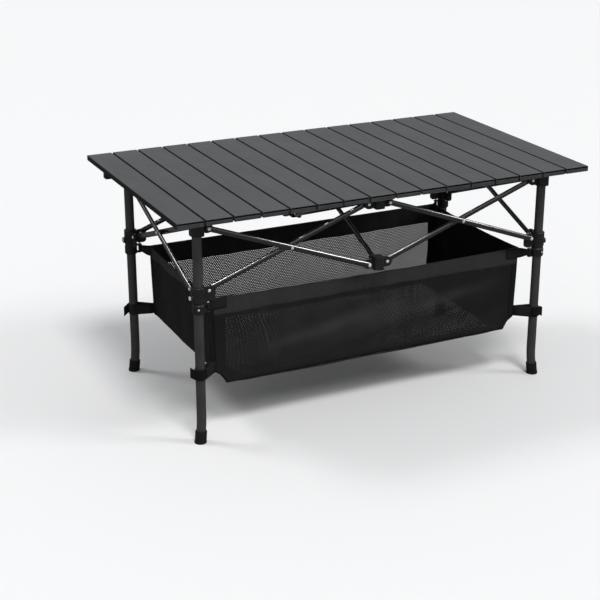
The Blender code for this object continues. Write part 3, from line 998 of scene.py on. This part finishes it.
def sew_wall(row_name, row, grid):
    """Front or rear wall: net in a frame of hems and bindings."""
    wide, tall = 2 * BASKET_X, RIM - BOTTOM
    panel = Panel(grid, wide, tall, (0, row, 0))
    hem = WALL_HEM[row_name] / tall
    foot = 1 - FOOT_HEM / tall
    side_left = LEFT_BINDING[row_name] / wide
    side_right = 1 - RIGHT_BINDING / wide
    mesh = net(
        panel, f"net_{row_name}", hem - TUCK / tall, foot + TUCK / tall,
        side_left - TUCK / wide, side_right + TUCK / wide,
    )
    extra = [
        panel.patch(f"hem_{row_name}_top", 0, hem, 0, 1, HEM, HEM_SHEEN_BLACK),
        panel.patch(f"hem_{row_name}_bottom", foot, 1, 0, 1, HEM, CLOTH_BLACK),
    ]
    for side_name, start, end in (("left", 0, side_left), ("right", side_right, 1)):
        name = f"binding_{row_name}_{side_name}"
        extra.append(panel.patch(name, hem * 0.97, 1, start, end, HEM * 1.2, CLOTH_BLACK))
    face = HEM / 2 + 0.0001
    for part, down, inset in (
        ("rim", 0.003 / tall, 0.004),
        ("hem", hem - 0.004 / tall, 0.004),
        ("foot", foot + 0.004 / tall, 0.02),
    ):
        name = f"stitch_{row_name}_{part}"
        extra.append(stitches(panel, name, (down, inset), (down, 1 - inset), face))
    carry([mesh], f"leg_{row_name}_left")
    carry(extra, f"leg_{row_name}_left")


def sew_end(side_name, side, grid):
    """Solid cloth end wall with a folded hem along its rim."""
    deep, tall = 2 * BASKET_Y, RIM - BOTTOM
    panel = Panel(grid, deep, tall, (side, 0, 0))
    cloth = panel.patch(f"end_cloth_{side_name}", 0, 1, 0, 1, CLOTH, CLOTH_BLACK)
    hem, edge = END_HEM / tall, END_PIPING / deep
    extra = [panel.patch(f"hem_{side_name}_top", 0, hem, 0, 1, 0.0006, HEM_SHEEN_BLACK, lift=0.0008)]
    for row_name, start, end in (("front", 0, edge), ("rear", 1 - edge, 1)):
        name = f"binding_{side_name}_{row_name}"
        extra.append(panel.patch(name, 0, 1, start, end, 0.0007, CLOTH_BLACK, lift=0.0009))
    seam = hem - 0.003 / tall
    extra.append(stitches(panel, f"stitch_{side_name}_rim", (seam, 0.01), (seam, 0.99), 0.0012))
    for row_name, across in (("front", edge * 0.8), ("rear", 1 - edge * 0.8)):
        name = f"stitch_{side_name}_{row_name}"
        extra.append(stitches(panel, name, (0.02, across), (0.98, across), 0.0013))
    body = f"leg_front_{side_name}"
    carry([cloth, *extra], body)


def sew_floor(grid):
    """Net floor, in three columns that follow the left legs, the hubs and the right legs."""
    wide, deep = 2 * FLOOR_X, 2 * BASKET_Y
    panel = Panel(grid, wide, deep, (0, 0, -1))
    split = FLOOR_SPLIT / wide
    columns = (
        ("left", 0, 0.5 - split, "leg_front_left"),
        ("centre", 0.5 - split, 0.5 + split, "hub_front_upper"),
        ("right", 0.5 + split, 1, "leg_front_right"),
    )
    side, front = FLOOR_TAPE / wide, FLOOR_TAPE / deep
    ends = {"left": (0, side), "right": (1 - side, 1)}
    lap = 0.8 * FLOOR_PITCH / wide
    for name, start, end, body in columns:
        left = start + (side / 2 if name == "left" else -lap)
        right = end - (side / 2 if name == "right" else -lap)
        mesh = net(panel, f"net_floor_{name}", front / 2, 1 - front / 2, left, right, FLOOR_PITCH)
        tapes = [
            panel.patch(f"tape_{name}_{row_name}", top, bottom, start, end, HEM, CLOTH_BLACK)
            for row_name, top, bottom in (("front", 0, front), ("rear", 1 - front, 1))
        ]
        if name in ends:
            tape = panel.patch(f"tape_{name}_end", front, 1 - front, *ends[name], HEM, CLOTH_BLACK)
            tapes.append(tape)
        carry([mesh], body)
        carry(tapes, body)


def wrap(corner, centre, radius, steps=26):
    """A level route from a corner round a post and back, touching it all the way."""
    away = corner - centre
    base = math.atan2(away.y, away.x)
    touch = math.acos(radius / away.length)
    angles = np.linspace(base + touch, base + 2 * math.pi - touch, steps)
    arc = [centre + radius * Vector((math.cos(a), math.sin(a), 0)) for a in angles]
    side = Vector((-away.y, away.x, 0)).normalized() * 0.0009
    into = [corner.lerp(arc[0], t) + side * (1 - t) for t in (0, 0.3, 0.6, 0.85)]
    back = [arc[-1].lerp(corner, t) - side * t for t in (0.15, 0.4, 0.7, 1.0)]
    return into + arc + back


def build_low_strap(row_name, row, side_name, side):
    """Hook-and-loop strap round the leg at the basket's lower corner, with its loose tail."""
    corner = Vector((side * (half_width(CORNER) + 0.001), row * (BASKET_Y + 0.0005), 0))
    centre = Vector((side * LEG_X, row * LEG_Y, 0))
    radius = LEG_RADIUS + STRAP_GAP + WEBBING / 2
    body = f"leg_{row_name}_{side_name}"
    route = wrap(corner, centre, radius)
    heights = [(STRAP_LOW + 0.001, STRAP_HIGH - 0.001) for _ in route]
    name = f"{row_name}_{side_name}"
    ribbon(f"low_strap_{name}", route, heights, WEBBING, STRAP_BLACK, body)

    # The tail lies over the strap on the leg's outer side, then leaves it and curls.
    turn = -row * side
    start = math.atan2(row, side * 0.2)
    outer = radius + WEBBING * 1.05
    angles = [start + turn * math.radians(a) for a in range(-70, 41, 10)]
    tail = [centre + outer * Vector((math.cos(a), math.sin(a), 0)) for a in angles]
    heading = (tail[-1] - tail[-2]).normalized()
    leave = Vector((math.cos(angles[-1]), math.sin(angles[-1]), 0))
    lift = 0.007 if (row_name, side_name) == ("front", "left") else -0.006
    lows = [0.0] * len(tail)
    for step in range(1, 8):
        t = step / 7
        tail.append(tail[len(angles) - 1] + heading * 0.013 * t + leave * 0.005 * t * t)
        lows.append(lift * t * t)
    heights = [(STRAP_LOW + 0.002 + low, STRAP_HIGH - 0.002 + low) for low in lows]
    ribbon(f"strap_tail_{name}", tail, heights, 0.0018, PILE_BLACK, body)


def build_top_tab(row_name, row, side_name, side):
    """Webbing tab sewn to the rim's corner and looped round the slider's pin."""
    pin = lug_pin_place(row, side)
    pin.z = 0
    corner = Vector((side * BASKET_X, row * BASKET_Y, 0))
    name = f"{row_name}_{side_name}"
    body = f"leg_{row_name}_{side_name}"
    loop = wrap(corner, pin, PIN_RADIUS + STRAP_GAP + WEBBING / 2, 16)
    inward = [corner + Vector((-side * d, row * 0.0018, 0)) for d in (0.030, 0.020, 0.010, 0.003)]
    behind = [corner + Vector((-side * 0.0018, -row * d, 0)) for d in (0.003, 0.010, 0.020, 0.030)]
    first = loop if (loop[1] - inward[-1]).length < (loop[-2] - inward[-1]).length else loop[::-1]
    route = inward + first[1:-1] + behind
    heights = []
    for point in route:
        near = min(1.0, max(0.0, ((point - pin).length - 0.003) / 0.020))
        heights.append((0.2885 - 0.010 * near, 0.3005 + 0.0015 * near))
    ribbon(f"top_tab_{name}", route, heights, WEBBING, STRAP_BLACK, body)


def build_basket():
    grids = shell_rest()
    grids = hang_shell(grids)
    for row_name, row in ROWS.items():
        fold = 0.0042 if row < 0 else 0.0015
        sew_wall(row_name, row, ripple(grids[row_name], (0, row, 0), fold))
    for side_name, side in SIDES.items():
        sew_end(side_name, side, grids[side_name])
    sew_floor(grids["floor"])
    for row_name, row in ROWS.items():
        for side_name, side in SIDES.items():
            build_low_strap(row_name, row, side_name, side)
            build_top_tab(row_name, row, side_name, side)
    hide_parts("basket_mesh_front")
    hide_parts("basket_mesh_rear")
    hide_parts("basket_end_left")
    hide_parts("basket_end_right")
    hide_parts("basket_floor")


# Stage, camera and light.


def build_camera():
    azimuth, elevation, distance = math.radians(-25.68), math.radians(21.0), 3.15
    target = Vector((-0.083, 0.0, 0.189))
    back = Vector((
        math.sin(azimuth) * math.cos(elevation),
        -math.cos(azimuth) * math.cos(elevation),
        math.sin(elevation),
    ))
    data = bpy.data.cameras.new("camera")
    data.sensor_width, data.lens = 36.0, 84.8
    camera = bpy.data.objects.new("camera", data)
    camera.location = target + back * distance
    camera.rotation_mode = "QUATERNION"
    camera.rotation_quaternion = (-back).to_track_quat("-Z", "Y")
    bpy.context.scene.collection.objects.link(camera)
    bpy.context.scene.camera = camera


def build_floor():
    bpy.ops.mesh.primitive_plane_add(size=60)
    floor = bpy.context.object
    floor.name = "floor"
    floor.data.materials.append(Finish("floor_pale", (0.88, 0.88, 0.885), 0.7).material)
    # Reflections show the world's dark lower half in place of the floor.
    floor.visible_glossy = False


def build_backdrop():
    """A pale dome far off, which lights nothing and shows in no reflection."""
    bpy.ops.mesh.primitive_uv_sphere_add(radius=29, segments=48, ring_count=24)
    dome = bpy.context.object
    dome.name = "backdrop"
    pale = bpy.data.materials.new("backdrop_pale")
    pale.use_nodes = True
    shader = pale.node_tree.nodes["Principled BSDF"]
    shader.inputs["Base Color"].default_value = (0, 0, 0, 1)
    shader.inputs["Specular IOR Level"].default_value = 0.0
    shader.inputs["Emission Color"].default_value = (0.93, 0.93, 0.935, 1)
    shader.inputs["Emission Strength"].default_value = 1.0
    dome.data.materials.append(pale)
    dome.visible_diffuse = dome.visible_glossy = dome.visible_shadow = False
    dome.visible_transmission = dome.visible_volume_scatter = False


def soft_sun(name, toward, strength):
    """A wide, even disc of light: long thin shines on the tubes and a soft shadow."""
    data = bpy.data.lights.new(name, "SUN")
    data.energy, data.angle = strength, math.radians(16)
    sun = bpy.data.objects.new(name, data)
    sun.rotation_mode = "QUATERNION"
    sun.rotation_quaternion = (-Vector(toward)).to_track_quat("-Z", "Y")
    bpy.context.scene.collection.objects.link(sun)


def build_light():
    world = bpy.data.worlds.new("studio")
    world.use_nodes = True
    nodes, links = world.node_tree.nodes, world.node_tree.links
    coordinates = nodes.new("ShaderNodeTexCoord")
    split = nodes.new("ShaderNodeSeparateXYZ")
    ramp = nodes.new("ShaderNodeValToRGB")
    dark, light = ramp.color_ramp.elements
    dark.position, dark.color = 0.0, (0.09, 0.09, 0.092, 1)
    light.position, light.color = 0.25, (0.39, 0.395, 0.40, 1)
    links.new(coordinates.outputs["Generated"], split.inputs["Vector"])
    links.new(split.outputs["Z"], ramp.inputs["Fac"])
    links.new(ramp.outputs["Color"], nodes["Background"].inputs["Color"])
    bpy.context.scene.world = world
    soft_sun("key", (-0.05, -0.48, 0.87), 1.5)
    soft_sun("right", (0.73, -0.43, 0.53), 0.85)
    soft_sun("rim", (-0.45, 0.42, 0.79), 0.65)
    bpy.context.scene.view_settings.view_transform = "Standard"
    bpy.context.scene.view_settings.look = "None"


dress_slats()
dress_frame()
build_basket()
build_floor()
build_backdrop()
build_camera()
build_light()
bpy.context.view_layer.update()
